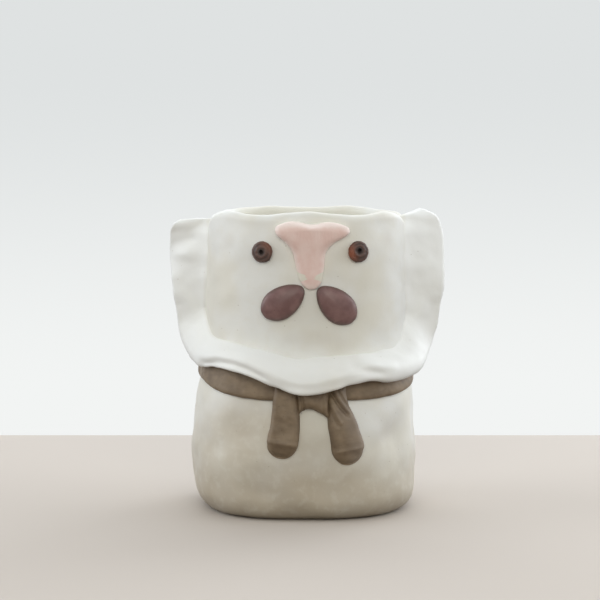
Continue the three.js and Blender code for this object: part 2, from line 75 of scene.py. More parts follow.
# How far the drain's upper edge is rounded, and how much of that is left at the middle of the rounding
DRAIN_EDGE = 1
DRAIN_EDGE_MIDDLE = 0.3
CHIN_RISE = 6.3
JAW = 21.4
BROW = 2

# Hand-made unevenness of the pot
SQUARENESS = 2.5
RIM_WAVE = 0.65
RIM_WAVES_ROUND = 7
# Share of the rim's wave that is left at the back, and share of the rim's height where wave and dip set in
RIM_WAVE_BACK = 0.45
RIM_WAVE_FROM = 0.85
# How far the rim dips at both sides, and how closely the dip keeps to them
RIM_DIP = 3
RIM_DIP_POWER = 10
# How far the rim leans in at the sides, and at the front and back
RIM_LEAN = 0.6
BROW_LEAN = 1
RIM_LEAN_HEIGHT = 11
# Thumb dents: depth, waves round and up the pot, how far their columns wander and in which waves, waves of
# their rows, share of them left on the head, and shares of the rim's height between which they soften
THUMBS = {
    "depth": 0.3,
    "round": 6,
    "up": 14,
    "wander": 2,
    "wander_up": 11,
    "rows_round": 2,
    "head": 0.4,
    "soften": (0.4, 0.6),
}
DENT_DEPTH = 1.3
DENT_RISE = 8
# Dents: angle from the front, share of the belly's height, shares of depth and rise, and spread in degrees
DENTS = [
    (76, 1.41, 1, 0.88, 11),
    (47, 1.23, 0.92, 0.75, 8),
    (30, 0.64, 0.46, 0.75, 11),
    (8, 0.45, 0.38, 0.63, 10),
    (-21, 0.45, 0.46, 0.63, 9),
    (-30, 1.36, 0.38, 0.88, 10),
    (-46, 0.36, 0.54, 0.63, 9),
    (-50, 1.18, 0.62, 1, 11),
]
BELLY_SWAY = -1
# Heights between which the white glaze turns warmer and darker, from not at all to fully: partly thinly laid
# glaze, partly painted shade of the lower body
SAND_AND_SHADE_HEIGHTS = (46, -4)
# Spots of painted shade on the wall, warmer and darker, or of painted light if less than nought: angle,
# share of the belly's height, spread in degrees, rise, and how far down the pot, in millimetres, the colour
# there comes from
LIGHT_AND_SHADE_SPOTS = [
    (-34, 1.65, 17, 11, 16),
    (-20, 1.3, 10, 8, 8),
    (5, 0.5, 16, 6, 10),
    (26, 1.35, 7, 8, -26),
    (40, 0.85, 12, 8, -14),
    (5, 2.7, 30, 6, 26),
    (47, 4.2, 14, 9, 62),
    (-44, 4.15, 14, 8, 56),
    (62, 1.1, 12, 12, -12),
]
# Kneading of the pieces: how deep, how large its lumps are, and which noise they come from
KNEADING = {
    "pot_wall": (0.45, 13, 1),
    "pot_floor": (0.1, 8, 2),
    "inside_seam_coil": (0.12, 6, 3),
    "ruff": (0.4, 9, 4),
    "scarf_band": (0.2, 6, 5),
    "scarf_tail": (0.25, 5, 6),
    "scarf_knot": (0.25, 4, 7),
    "eye": (0.12, 1.1, 8),
}
# Finer lumps: how many times smaller and what share as deep; kneading dies away below a height
FINER_LUMPS = {"times": 2.3, "share": 0.5}
KNEADED_FROM = 2

# Face
NOSE = {"length": 22.3, "half": 11.8, "aside": 2, "thick": 3.5, "edge": 3.5}
NOSE_NOTCH = {"depth": 1.7, "width": 4.5}
NOSE_ROUNDS = (2.4, 4)
# From the nose's top to its foot: shares of its length, lean aside, half width and thickness
NOSE_OUTLINE = [
    (0, 0.7, 1, 1),
    (0.1, 0.85, 1, 1),
    (0.155, 0.9, 1.005, 0.98),
    (0.21, 0.8, 0.945, 0.93),
    (0.27, 0.65, 0.8, 0.87),
    (0.33, 0.5, 0.645, 0.81),
    (0.45, 0.4, 0.465, 0.71),
    (0.66, 0.5, 0.385, 0.6),
    (0.81, 0.6, 0.33, 0.55),
    (1, 0.7, 0.29, 0.5),
]
# Shares of the nose's height over which its sides begin and end to miss their pink, and over which its top
# is painted paler, a painted highlight
PINK_MISSED = ((0.08, 0.16), (0.3, 0.2))
PINK_TOP_HIGHLIGHT = (0.74, 0.96)
EYE = {"radius": 3.45, "thick": 2.3, "pit": 0.6, "pit_depth": 0.9, "below_rim": 12.2}
# From an eye's foot to its pit: share of its radius at its foot, then shares of its radius and thickness,
# and then of its pit's radius and depth
EYE_FOOT = 0.8
EYE_OUTLINE = [(0.97, 0.25), (1, 0.45), (0.88, 0.75), (0.62, 0.94)]
EYE_PIT_OUTLINE = [(1.25, 0), (1, 0.2), (0.8, 1)]
# Where the eyes lie, and how far above an eye's centre its pit does
EYE_X = {"left": -14.1, "right": 16.3}
EYE_PIT_UP = {"left": 0.1, "right": 0.6}
# Which way from an eye's centre its glaze breaks to rust, how much, and between which shares of the radius
EYE_RUST = {"left": {"turn": 45, "share": 0.4}, "right": {"turn": 190, "share": 0.9}}
EYE_RUST_ACROSS = (0.4, 0.7)
# How closely rings are scored in an eye, in radians across its radius, and the shares of its radius between
# which its glaze is painted darker towards the pit, as painted shade in the pierced hole
EYE_SCORES = 16
EYE_PIT_SHADE = (0.38, 0.12)
MUZZLE = {"length": 15.5, "half": 5.1, "thick": 3}
# Shares of a muzzle pad's length and half width, and shares of its length over which its ends are rounded
MUZZLE_OUTLINE = [(0, 0.78), (0.25, 0.9), (0.55, 1), (0.8, 1), (1, 0.95)]
MUZZLE_ROUNDS = (0.5, 0.42)
# Where the muzzle pads' tips lie, and which way the pads run from them in degrees
MUZZLE_TIPS = {
    "left": {"x": -1.1, "rise": 0.5, "slope": 215},
    "right": {"x": 3.8, "rise": 0.5, "slope": 315},
}

# Ruff
RUFF = {"thick": 3.6, "fillet": 6, "under_fillet": 1.5, "reach": 10, "drop": 10, "swing": 8}
# How deep the ruff's root sits in the wall, and how deep at the rim, where the wall's lip rounds away, and
# the shares of the rim's height between which it deepens
RUFF_SINK = {"wall": 0.9, "rim": 2.4, "deepens": (0.92, 0.97)}
RUFF_DROOP = 1.5
# Share of its thickness that it keeps at its two ends, and over how many stations it thickens there
RUFF_TIP = {"share": 0.4, "stations": 0.5}
# Share of its reach over which it comes free of the wall's dents
RUFF_FREE = 0.6
# How much fuller than round the edge is, and where and over how many degrees from straight out
RUFF_BLUNT = {"share": 0.3, "turn": -50, "spread": 35}
# Stations from the left end to the right: angle and share of the way from chin to rim of the root, then
# shares of reach, drop, swing and fillet, and how many times thicker the edge is than the root
RUFF_STATIONS = [
    (-78, 0.945, 0.88, 0.03, -0.45, 0.5, 1),
    (-78, 0.93, 1.07, 0.09, -0.5, 0.7, 1),
    (-78, 0.895, 1.16, 0.16, -0.6, 0.9, 1),
    (-78, 0.83, 1.14, 0.17, -0.8, 1.2, 1),
    (-78, 0.7, 1.1, 0.12, -0.9, 1.4, 1),
    (-78, 0.58, 1.08, 0.14, -0.6, 1.3, 1),
    (-78, 0.47, 1.03, 0.2, -0.45, 1.1, 1),
    (-77, 0.37, 0.96, 0.38, -0.48, 0.8, 1),
    (-76, 0.28, 0.84, 0.53, -0.5, 0.5, 1.1),
    (-71, 0.2, 0.63, 0.6, -0.42, 0.35, 1.35),
    (-61, 0.105, 0.56, 0.6, -0.15, 0.3, 1.65),
    (-45, 0.06, 0.64, 0.46, 0, 0.2, 1.65),
    (-26, 0, 0.84, 0.36, 0, 0.2, 1.65),
    (-4, -0.05, 1.06, 0.68, 0, 0.2, 1.65),
    (12, -0.045, 1.02, 0.57, 0, 0.2, 1.65),
    (27, -0.03, 0.8, 0.36, 0, 0.2, 1.65),
    (43, -0.018, 0.68, 0.48, 0, 0.2, 1.65),
    (57, 0.03, 0.72, 0.5, -0.1, 0.3, 1.5),
    (66, 0.14, 0.72, 0.57, -0.4, 0.35, 1.1),
    (71, 0.24, 0.79, 0.6, -0.6, 0.5, 1),
    (73, 0.34, 1, 0.55, -0.58, 0.8, 1),
    (75, 0.46, 1.11, 0.4, -0.45, 1.2, 1),
    (76, 0.6, 1.18, 0.2, -0.5, 1.6, 1),
    (77, 0.75, 1.18, 0.03, -0.65, 1.6, 1),
    (77, 0.87, 1.12, -0.05, -0.7, 1.4, 1),
    (77, 0.935, 0.93, -0.13, -0.6, 0.9, 1),
    (77, 0.965, 0.5, -0.2, -0.5, 0.5, 1),
]
# How much less of the ruff's whiter coat lies at the chin, as painted shade on the chin's ledge
CHIN_SHADE = {"x": 3, "spread": 13, "chin_shade": 0.8}
# How far from the wall's face the ruff's whiter coat, partly painted light, sets in, from nothing to all of
# it, and how far its folds
COAT_SETS_IN = (-0.8, 1)
FOLDS_SET_IN = (0, 2)
# Folds in the ruff: the line of each as seen from the front, how far it stands up, and its half width
RUFF_FOLDS = [
    ([(-34, 50.4), (-29.6, 51.6), (-24.8, 51.6), (-19.9, 50.3), (-14.5, 47.8)], -1.3, 1.5),
    ([(-31, 48.6), (-25, 48.4), (-19, 46.6), (-14, 44.8)], -0.6, 1.6),
    ([(-9, 45.2), (2, 44.8), (12, 46)], -1.2, 3.6),
    ([(13.5, 55), (19.3, 52.6), (24.2, 51), (28, 50.6)], 0.5, 1.3),
    ([(15.5, 51.6), (19.5, 49.9), (24, 48.9)], -0.7, 1.5),
    ([(43, 68), (42, 64)], -1, 3.6),
    ([(-43, 67.5), (-40, 63.5)], -0.8, 3.8),
    ([(-43, 85.2), (-39.5, 85.8)], 0.9, 2.4),
    ([(-43, 89.8), (-39, 90.6)], -0.6, 2.2),
]

# Scarf
BAND = {"tall": 8.4, "thick": 1.8, "below_neck": 4.1, "rise": 5, "tilt": 1.6}
# How closely the band's rise and tilt keep to the sides, and how square its section is, with 2 for round
BAND_RISE_POWER = 4
BAND_TILT_POWER = 3
BAND_SQUARENESS = 6
# The knot's edge is a share of its height, and it overlaps both tails
KNOT = {"x": 1.9, "half": 4.2, "overlap": 1, "top": 1.3, "tall": 10.2, "over_band": 1.8, "edge": 0.3}
# Places across the knot, from its left end at -1 to its right end at 1, and shares of its height there
KNOT_ARCH = [(-1, 0.98), (-0.6, 0.84), (-0.25, 0.77), (0.15, 0.83), (0.55, 0.95), (1, 1.06)]
# A facet bends each tail down towards its end, along a low ridge that slants by some millimetres
TAIL = {"over_band": 2.1, "foot": 3, "edge": 2.2, "facet": 5.2, "facet_drop": 1.8}
TAIL_RIDGE = {"height": 0.25, "half": 0.7}
TAIL_LEFT = {"length": 22.7, "aside": 5.7, "half": 4.9, "round": 4.4, "slant": -0.8}
TAIL_RIGHT = {"length": 25, "aside": 7.1, "half": 5.2, "round": 5.2, "slant": 1}
# Creases: place along a pad and share of its half width, for both ends, then depth and half width
TAIL_CREASES = [
    (2, -0.8, 9.5, 0.35, 1.3, 0.8),
    (4.5, -1, 12, -0.25, -0.5, 0.7),
    (1.5, -0.1, 7.5, 0.75, 0.6, 0.6),
    (8, -0.9, 13, -0.5, 0.4, 0.6),
]
KNOT_CREASES = [
    (1.2, 1, 2.4, -1, 0.9, 0.6),
    (4.6, 1, 3.8, -1, -0.4, 1.1),
    (6.6, 1, 8.6, -1, 0.5, 0.8),
]
# From the tails' tops to their ends: shares of length, of the way aside and of half width
TAIL_LEFT_OUTLINE = [
    (-0.05, 0.74, 0.7),
    (0.165, 0.755, 0.8),
    (0.495, 0.79, 0.94),
    (0.76, 0.93, 1),
    (1, 1, 0.95),
]
TAIL_RIGHT_OUTLINE = [
    (-0.05, 0.465, 0.55),
    (0.15, 0.51, 0.6),
    (0.41, 0.69, 0.84),
    (0.695, 0.92, 0.96),
    (1, 1, 0.95),
]
# Where the band's brown wears thin: angle and spread in degrees
WORN_SPOTS = [(-66, 6), (72, 4)]
# How far painted light pales a tail's outer side, where light falls on it, and between which shares of the
# tail's half width
TAIL_SIDE_LIGHT = {"left": 0, "right": 0.55}
TAIL_SIDE_LIGHT_ACROSS = (-0.4, 0.8)

# Places worked out from the sizes above
CHIN_HEIGHT = NECK_HEIGHT + CHIN_RISE
NOSE_FOOT = CHIN_HEIGHT + JAW
NOSE_TOP = NOSE_FOOT + NOSE["length"]
RIM_HEIGHT = NOSE_TOP + BROW
EYE_HEIGHT = RIM_HEIGHT - EYE["below_rim"]
BAND_FRONT = NECK_HEIGHT - BAND["below_neck"]
KNOT_ANGLE = KNOT["x"] / NECK_RADIUS
COIL_TOP = FLOOR + COIL

# Sampling
ROUND_STEPS = 320
FOOT_STEPS = 12
OUTSIDE_STEPS = 150
INSIDE_STEPS = 70
ARC_STEPS = 16
FLOOR_STEPS = 16
# How far beyond half way to the wall the floor's rings begin
FLOOR_RINGS_FROM = 10
RUFF_STEPS = 300
RUFF_FACE_STEPS = 24
RUFF_FACE_BUNCHING = 1.6
RUFF_EDGE_STEPS = 19
# Share of a station, and of the reach, over which the ruff's direction is measured
RUFF_PROBE = 0.05
BAND_STEPS = 25
PAD_ROWS = 96
PAD_COLUMNS = 56
EYE_ROWS = 50
EYE_STEPS = 72
# Share of its width that a pad's tip keeps, and the distance that stands for none where it divides
TIP_SHARE = 0.04
NO_DISTANCE = 1e-6

UP = np.array([0.0, 0.0, 1.0])


def lerp(low, high, share):
    return low + (high - low) * share


def smoothstep(value, low, high):
    share = np.clip((np.asarray(value, float) - low) / (high - low), 0, 1)
    return share * share * (3 - 2 * share)


def hump(distance, half):
    """One at no distance, dying away smoothly over a half width."""
    return np.exp(-((distance / half) ** 2))


def unit(vector):
    return vector / np.linalg.norm(vector, axis=-1, keepdims=True)


def smooth_rows(rows):
    """A smooth curve through rows of numbers; the first number in a row is the place along the curve."""
    table = np.array(rows, float)
    places, values = table[:, 0], table[:, 1:]
    secants = np.diff(values, axis=0) / np.diff(places)[:, None]
    slopes = np.zeros_like(values)
    slopes[1:-1] = (secants[:-1] + secants[1:]) / 2

    def at(place):
        place = np.clip(np.asarray(place, float), places[0], places[-1])
        low = np.clip(np.searchsorted(places, place, side="right") - 1, 0, len(places) - 2)
        span = places[low + 1] - places[low]
        share = ((place - places[low]) / span)[..., None]
        leaving = slopes[low] * share * (1 - share) ** 2
        arriving = slopes[low + 1] * share**2 * (1 - share)
        rise = span[..., None] * (leaving - arriving)
        return lerp(values[low], values[low + 1], share * share * (3 - 2 * share)) + rise

    return at


outside_curve = smooth_rows(
    [
        (0, FOOT_RADIUS),
        (BELLY_HEIGHT / 2, lerp(FOOT_RADIUS, BELLY_RADIUS, LOW_BELLY)),
        (BELLY_HEIGHT, BELLY_RADIUS),
        (CHEST_HEIGHT, CHEST_RADIUS),
        (NECK_HEIGHT, NECK_RADIUS),
        ((NECK_HEIGHT + RIM_HEIGHT) / 2, HEAD_RADIUS),
        (RIM_HEIGHT, RIM_RADIUS),
    ]
)


def outside_radius(height):
    """Outside radius of the pot before it is squared and dented, with its foot rounded in."""
    above = np.clip(np.asarray(height, float) / FOOT_ROUND, 0, 1)
    return outside_curve(height)[..., 0] - FOOT_TUCK * (1 - np.sqrt(1 - (1 - above) ** 2))


def pressing(angle, height):
    """How far the wall stands out from its round shape: squared corners, a leaning rim and dents."""
    corner_sum = np.abs(np.sin(angle)) ** SQUARENESS + np.abs(np.cos(angle)) ** SQUARENESS
    squared = outside_radius(height) * (corner_sum ** (-1 / SQUARENESS) - 1)
    row = height / RIM_HEIGHT
    softer = lerp(1, THUMBS["head"], smoothstep(row, *THUMBS["soften"]))
    wander = THUMBS["wander"] * np.sin(THUMBS["wander_up"] * row)
    rows = THUMBS["up"] * row + np.sin(THUMBS["rows_round"] * angle)
    thumbs = np.cos(THUMBS["round"] * angle + wander) * np.cos(rows)
    lean = lerp(BROW_LEAN, RIM_LEAN, np.sin(angle) ** 2)
    lean = lean * smoothstep(height, RIM_HEIGHT - RIM_LEAN_HEIGHT, RIM_HEIGHT)
    pressed = squared - THUMBS["depth"] * softer * thumbs - lean
    turn = np.degrees(np.arctan2(np.sin(angle), np.cos(angle)))
    for middle, up, depth, rise, wide in DENTS:
        dent = hump(turn - middle, wide) * hump(height - up * BELLY_HEIGHT, rise * DENT_RISE)
        pressed = pressed - depth * DENT_DEPTH * dent
    return pressed


def sway(height):
    """How far the belly stands to one side."""
    return BELLY_SWAY * hump(height - BELLY_HEIGHT, BELLY_HEIGHT)


def rim_wave(angle, height):
    """How far the rim rises or falls; it dies away below the rim."""
    frontward = lerp(RIM_WAVE_BACK, 1, (1 + np.cos(angle)) / 2)
    waves = RIM_WAVE * frontward * np.cos(RIM_WAVES_ROUND * angle)
    dip = RIM_DIP * np.sin(angle) ** RIM_DIP_POWER
    return (waves - dip) * smoothstep(height, RIM_WAVE_FROM * RIM_HEIGHT, RIM_HEIGHT)


def around_pot(angle, height, radius):
    angle, height, radius = np.broadcast_arrays(angle, height, radius)
    return np.stack([sway(height) + radius * np.sin(angle), -radius * np.cos(angle), height], -1)


def turn_of(points):
    """Which way points lie from the pot's axis, in degrees from the front."""
    return np.degrees(np.arctan2(points[..., 0], -points[..., 1]))


def wall_point(angle, height, lift):
    """A point of the pot: angle from the front, height, and how far it lies outside the wall's face."""
    point = around_pot(angle, height, outside_radius(height) + pressing(angle, height) + lift)
    point[..., 2] += rim_wave(angle, height)
    return point


def face_angle(x, height):
    aside = (x - sway(height)) / outside_radius(height)
    forward = (1 - np.minimum(1, np.abs(aside)) ** SQUARENESS) ** (1 / SQUARENESS)
    return np.arctan2(aside, forward)


def face_point(x, height, lift):
    """The same, for a place on the front of the pot given by its x as seen from the front."""
    return wall_point(face_angle(x, height), height, lift)


def lift_of(points):
    """How far points lie outside the wall's face."""
    height = points[..., 2]
    aside = points[..., 0] - sway(height)
    angle = np.arctan2(aside, -points[..., 1])
    return np.hypot(aside, points[..., 1]) - outside_radius(height) - pressing(angle, height)


def at_lift(points, lift):
    """Points slid in or out until they lie at a given lift from the wall's face."""
    height = points[..., 2]
    angle = np.arctan2(points[..., 0] - sway(height), -points[..., 1])
    return around_pot(angle, height, outside_radius(height) + pressing(angle, height) + lift)


# Making meshes


def add_object(name, data):
    added = bpy.data.objects.new(name, data)
    bpy.context.scene.collection.objects.link(added)
    return added


def add_mesh(name, vertices, faces, material):
    mesh = bpy.data.meshes.new(name)
    mesh.from_pydata(vertices, [], faces)
    mesh.materials.append(material)
    return add_object(name, mesh)


def add_piece(name, rings, closed, material, marks=None):
    """A closed skin over a row of rings; an open row gets end faces. Rings run so that the faces point out.
    marks are numbers for each point of the rings, by name, that the glazes read."""
    rings = np.asarray(rings, float)
    count, size = rings.shape[:2]
    vertices = (rings.reshape(-1, 3) + AXIS) * MM
    here = np.arange(count if closed else count - 1)[:, None] * size
    there = (here + size) % (count * size)
    side = np.arange(size)[None, :]
    after = (side + 1) % size
    faces = np.stack([here + side, here + after, there + after, there + side], -1).reshape(-1, 4).tolist()
    if not closed:
        faces.append(list(range(size - 1, -1, -1)))
        faces.append(list(range((count - 1) * size, count * size)))
    piece = add_mesh(name, vertices.tolist(), faces, material)
    mesh = piece.data
    mesh.shade_smooth()
    mesh.update()
    for mark, values in (marks or {}).items():
        mesh.attributes.new(mark, "FLOAT", "POINT").data.foreach_set("value", np.ravel(values))
    return piece


def places_of(piece):
    places = np.empty(3 * len(piece.data.vertices))
    piece.data.vertices.foreach_get("co", places)
    return places.reshape(-1, 3)


def shift(piece, push):
    """Moves each point of a skin out by its own distance."""
    normals = np.empty(3 * len(push))
    piece.data.vertex_normals.foreach_get("vector", normals)
    places = places_of(piece) + normals.reshape(-1, 3) * push[:, None]
    piece.data.vertices.foreach_set("co", places.ravel())
    piece.data.update()


def lumps(point):
    return noise.noise(point) + FINER_LUMPS["share"] * noise.noise(FINER_LUMPS["times"] * point)


def knead(piece, kind):
    """Moves the skin in and out by soft noise, as hands leave it, but not where it stands on the table."""
    depth, size, seed = KNEADING[kind]
    places = places_of(piece)
    points = places / (size * MM) + seed * np.array([1, 2, 3])
    push = np.array([lumps(Vector(point)) for point in points])
    shift(piece, depth * MM * push * np.minimum(1, places[:, 2] / (KNEADED_FROM * MM)))


def finish_piece(piece, slot, *nodes):
    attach(piece, "root")
    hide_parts(*nodes)


# Materials


def from_srgb(*levels):
    return tuple(((level / 255 + 0.055) / 1.055) ** 2.4 for level in levels)


def glaze(name):
    material = bpy.data.materials.new(name)
    material.use_nodes = True
    return material, material.node_tree, material.node_tree.nodes["Principled BSDF"]


# Places of the colour sockets on Blender's mix node
MIX_LOW, MIX_HIGH, MIX_OUT = 6, 7, 2


def feed(tree, socket, value):
    """Joins another node's output to a socket, or sets the socket's own value."""
    if isinstance(value, bpy.types.NodeSocket):
        tree.links.new(value, socket)
    elif isinstance(value, tuple):
        socket.default_value = (*value, 1)
    else:
        socket.default_value = value


def mixed(tree, share, low, high):
    node = tree.nodes.new("ShaderNodeMix")
    node.data_type = "RGBA"
    feed(tree, node.inputs["Factor"], share)
    feed(tree, node.inputs[MIX_LOW], low)
    feed(tree, node.inputs[MIX_HIGH], high)
    return node.outputs[MIX_OUT]


def reckon(tree, operation, first, second):
    node = tree.nodes.new("ShaderNodeMath")
    node.operation = operation
    feed(tree, node.inputs[0], first)
    feed(tree, node.inputs[1], second)
    return node.outputs["Value"]


def coated(tree, colour, cover, most, coat):
    """A colour under a coat that hides at most a share of it."""
    return mixed(tree, reckon(tree, "MULTIPLY", cover, most), colour, coat)


def between(tree, value, low, high):
    """Nought at low and one at high, and smooth between them."""
    node = tree.nodes.new("ShaderNodeMapRange")
    node.interpolation_type = "SMOOTHSTEP"
    feed(tree, node.inputs["Value"], value)
    feed(tree, node.inputs["From Min"], low)
    feed(tree, node.inputs["From Max"], high)
    return node.outputs["Result"]


def spread(tree, value, low, high):
    """A number from nought to one turned into one from low to high."""
    node = tree.nodes.new("ShaderNodeMapRange")
    feed(tree, node.inputs["Value"], value)
    feed(tree, node.inputs["To Min"], low)
    feed(tree, node.inputs["To Max"], high)
    return node.outputs["Result"]


def spot(tree):
    return tree.nodes.new("ShaderNodeTexCoord").outputs["Object"]


def height_of(tree):
    """Height above the table, in millimetres."""
    node = tree.nodes.new("ShaderNodeSeparateXYZ")
    feed(tree, node.inputs["Vector"], spot(tree))
    return reckon(tree, "DIVIDE", node.outputs["Z"], MM)


def marked(tree, mark):
    node = tree.nodes.new("ShaderNodeAttribute")
    node.attribute_name = mark
    return node.outputs["Fac"]


def clouds(tree, size, stretch=(1, 1, 1), detail=2):
    """Soft noise with lumps of about a size in millimetres, longer along the stretched axes."""
    scaled = tree.nodes.new("ShaderNodeMapping")
    scaled.inputs["Scale"].default_value = [1 / (size * MM * longer) for longer in stretch]
    feed(tree, scaled.inputs["Vector"], spot(tree))
    node = tree.nodes.new("ShaderNodeTexNoise")
    node.inputs["Scale"].default_value = 1
    node.inputs["Detail"].default_value = detail
    feed(tree, node.inputs["Vector"], scaled.outputs["Vector"])
    return node.outputs["Fac"]


def specks(tree, spacing, radius):
    """Scattered round specks: their spacing and their radius in millimetres."""
    cells = tree.nodes.new("ShaderNodeTexVoronoi")
    cells.inputs["Scale"].default_value = 1 / (spacing * MM)
    feed(tree, cells.inputs["Vector"], spot(tree))
    return between(tree, cells.outputs["Distance"], radius / spacing, 0.5 * radius / spacing)


def emboss(tree, shader, relief, depth):
    """A shallow relief of a depth in millimetres, for the skin of the glaze alone."""
    bump = tree.nodes.new("ShaderNodeBump")
    bump.inputs["Distance"].default_value = depth * MM
    feed(tree, bump.inputs["Height"], relief)
    feed(tree, shader.inputs["Normal"], bump.outputs["Normal"])


def white_glaze():
    """Satin white, creamier in patches, warmer and darker towards the foot, partly as thinly laid glaze and
    partly as painted shade, with spots of painted light and shade, and a few pinholes. It lies thickest and
    whitest on the ruff, partly as painted light, and less white on the chin's ledge as painted shade."""
    material, tree, shader = glaze("white_glaze")
    milk, cream, sand_and_shade = from_srgb(238, 239, 235), from_srgb(233, 231, 220), from_srgb(196, 185, 165)
    ruff_white_and_light, pinhole = from_srgb(247, 249, 247), from_srgb(158, 144, 124)
    patches = between(tree, clouds(tree, 20), 0.35, 0.65)
    colour = mixed(tree, patches, milk, cream)
    run = reckon(tree, "ADD", height_of(tree), spread(tree, clouds(tree, 12), -12, 12))
    # Spots of painted light and shade move where the warmer, darker colour of the foot sets in
    run = reckon(tree, "SUBTRACT", run, marked(tree, "thin_and_painted_light"))
    # Warmer and darker towards the foot: partly thinly laid glaze, partly painted shade of the lower body
    colour = mixed(tree, between(tree, run, *SAND_AND_SHADE_HEIGHTS), colour, sand_and_shade)
    mottle = between(tree, clouds(tree, 2.5, detail=3), 0.45, 0.75)
    colour = coated(tree, colour, mottle, 0.25, cream)
    # The ruff's whiter coat: partly thicker glaze, partly painted light
    colour = coated(tree, colour, marked(tree, "coat"), 0.9, ruff_white_and_light)
    colour = coated(tree, colour, specks(tree, 4, 0.24), 0.4, pinhole)
    feed(tree, shader.inputs["Base Color"], colour)
    feed(tree, shader.inputs["Roughness"], spread(tree, clouds(tree, 9), 0.45, 0.62))
    emboss(tree, shader, clouds(tree, 5, detail=3), 0.12)
    return material


def taupe_glaze():
    """Matt brown-grey, brushed on unevenly, and worn to its pale ground in places, with painted light paling
    a tail's outer side.
    """
    material, tree, shader = glaze("taupe_glaze")
    dark, pale, painted_side_light = from_srgb(112, 95, 75), from_srgb(139, 121, 98), from_srgb(156, 143, 130)
    speck, ground = from_srgb(78, 65, 53), from_srgb(165, 151, 135)
    streaks = clouds(tree, 1.6, (1.6, 1.6, 1), 3)
    blots = clouds(tree, 6)
    laid = reckon(tree, "ADD", reckon(tree, "MULTIPLY", streaks, 0.4), blots)
    colour = mixed(tree, between(tree, laid, 0.45, 0.95), dark, pale)
    # Painted light: a tail's outer side painted paler
    colour = mixed(tree, marked(tree, "painted_side_light"), colour, painted_side_light)
    colour = coated(tree, colour, specks(tree, 1.6, 0.2), 0.4, speck)
    rubbed = spread(tree, clouds(tree, 1.2, detail=3), 0, 1.4)
    worn = reckon(tree, "MULTIPLY", marked(tree, "worn"), rubbed)
    colour = mixed(tree, between(tree, worn, 0.35, 1.1), colour, ground)
    feed(tree, shader.inputs["Base Color"], colour)
    shader.inputs["Roughness"].default_value = 0.6
    emboss(tree, shader, streaks, 0.12)
    return material


def pink_glaze():
    """Pale pink over white: it thins out at the edges and misses both sides above the nose's foot; its top
    is painted paler, a painted highlight.
    """
    material, tree, shader = glaze("pink_glaze")
    bare, thin_and_painted_light = from_srgb(236, 231, 218), from_srgb(252, 236, 229)
    pale, full = from_srgb(243, 217, 209), from_srgb(237, 206, 197)
    height = height_of(tree)

    def up_nose(low, high):
        return between(tree, height, NOSE_FOOT + low * NOSE["length"], NOSE_FOOT + high * NOSE["length"])

    begun, ended = [up_nose(*shares) for shares in PINK_MISSED]
    missed = reckon(tree, "MULTIPLY", reckon(tree, "MULTIPLY", begun, ended), 3.3)
    wander = spread(tree, clouds(tree, 1.8), -0.5, 0.5)
    inside = reckon(tree, "ADD", marked(tree, "from_edge"), wander)
    # Painted highlight: the top of the nose painted towards the edge's paler pink
    inside = reckon(tree, "SUBTRACT", inside, reckon(tree, "MULTIPLY", up_nose(*PINK_TOP_HIGHLIGHT), 1.5))
    colour = mixed(tree, between(tree, clouds(tree, 4, detail=3), 0.35, 0.65), pale, full)
    colour = mixed(tree, between(tree, inside, -0.5, 2), thin_and_painted_light, colour)
    colour = mixed(tree, between(tree, reckon(tree, "SUBTRACT", inside, missed), -1.5, -0.9), bare, colour)
    feed(tree, shader.inputs["Base Color"], colour)
    shader.inputs["Roughness"].default_value = 0.45
    emboss(tree, shader, clouds(tree, 1.5, (0.6, 1, 2.5), 3), 0.12)
    return material


def mauve_glaze():
    """Dark mauve satin, browner and a little darker towards the edge, with fine specks."""
    material, tree, shader = glaze("mauve_glaze")
    dark, pale = from_srgb(112, 81, 79), from_srgb(130, 99, 96)
    edge, speck = from_srgb(98, 74, 68), from_srgb(70, 50, 47)
    colour = mixed(tree, between(tree, clouds(tree, 4, detail=3), 0.35, 0.68), dark, pale)
    inside = reckon(tree, "ADD", marked(tree, "from_edge"), spread(tree, clouds(tree, 2), -0.6, 0.6))
    colour = mixed(tree, between(tree, inside, 0, 1.3), edge, colour)
    colour = coated(tree, colour, specks(tree, 1.4, 0.18), 0.5, speck)
    feed(tree, shader.inputs["Base Color"], colour)
    feed(tree, shader.inputs["Roughness"], spread(tree, clouds(tree, 5), 0.34, 0.48))
    emboss(tree, shader, clouds(tree, 2, detail=3), 0.1)
    return material


def brown_glaze():
    """Dark brown, scored in rings round the pierced centre and broken to rust on one side, with painted
    shade darkening it into the pit.
    """
    material, tree, shader = glaze("brown_glaze")
    dark, pale = from_srgb(66, 48, 42), from_srgb(92, 68, 60)
    # pit: near black, painted shade for the pierced hole
    pit, rust = from_srgb(26, 18, 15), from_srgb(142, 80, 54)
    ring = reckon(tree, "ADD", marked(tree, "ring"), spread(tree, clouds(tree, 1.5), -0.12, 0.12))
    wave = reckon(tree, "SINE", reckon(tree, "MULTIPLY", ring, EYE_SCORES), 0)
    colour = mixed(tree, between(tree, wave, -1, 1), dark, pale)
    colour = mixed(tree, marked(tree, "rust"), colour, rust)
    # Painted shade: near black towards the pierced pit, where little light gets in
    hollow = between(tree, ring, *EYE_PIT_SHADE)
    feed(tree, shader.inputs["Base Color"], mixed(tree, hollow, colour, pit))
    feed(tree, shader.inputs["Roughness"], spread(tree, hollow, 0.5, 0.9))
    emboss(tree, shader, wave, 0.08)
    return material


WHITE = white_glaze()
TAUPE = taupe_glaze()
PINK = pink_glaze()
MAUVE = mauve_glaze()
BROWN = brown_glaze()


# Pot


